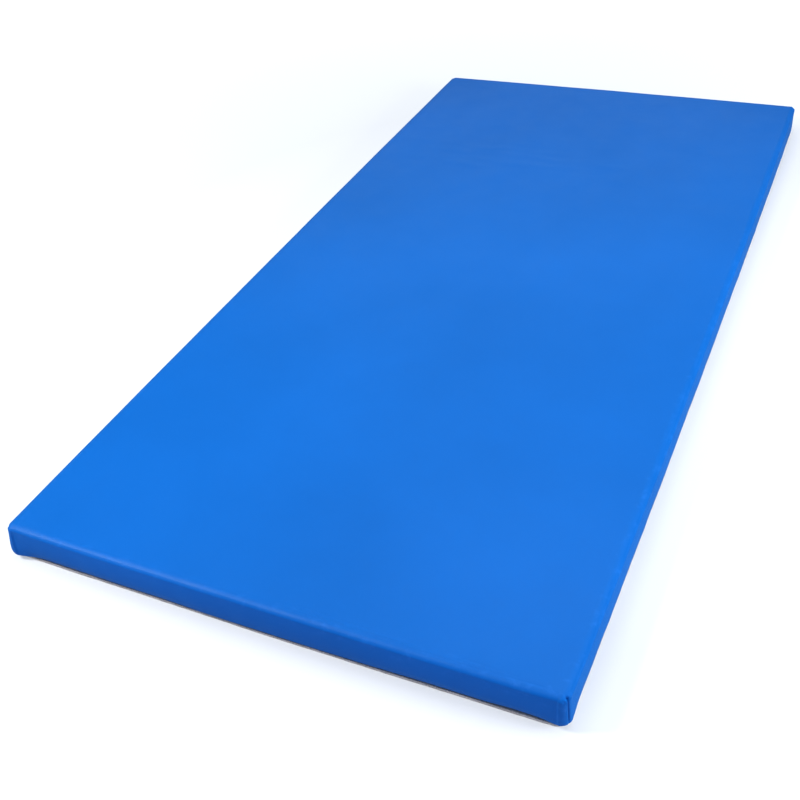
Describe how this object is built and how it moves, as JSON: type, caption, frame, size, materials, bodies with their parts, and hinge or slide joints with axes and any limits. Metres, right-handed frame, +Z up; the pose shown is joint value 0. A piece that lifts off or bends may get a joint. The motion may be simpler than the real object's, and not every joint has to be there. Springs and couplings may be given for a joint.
{
  "type": "gym mat",
  "caption": "Flat rectangular gym mat: a laminated foam slab wrapped in one sheet of blue coated fabric with folded corners, on a glued anti-slip sheet.",
  "frame": {"origin": "centre of the underside of the anti-slip sheet, on the surface that the mat lies on", "axes": "+X across the mat's width, +Y along its length, +Z up out of its top face"},
  "size_m": [1, 2, 0.07],
  "materials": {
    "blue_cover": "satin",
    "anti_slip_sheet": "matte",
    "firm_foam": "matte",
    "soft_foam": "matte"
  },
  "bodies": {
    "root": {"anti_slip_base": "anti_slip_sheet", "foam_base_layer": "firm_foam", "foam_top_layer": "soft_foam", "cover_sheet": "blue_cover", "corner_tab_near_left": "blue_cover", "corner_tab_near_right": "blue_cover", "corner_tab_far_left": "blue_cover", "corner_tab_far_right": "blue_cover"}
  },
  "joints": []
}
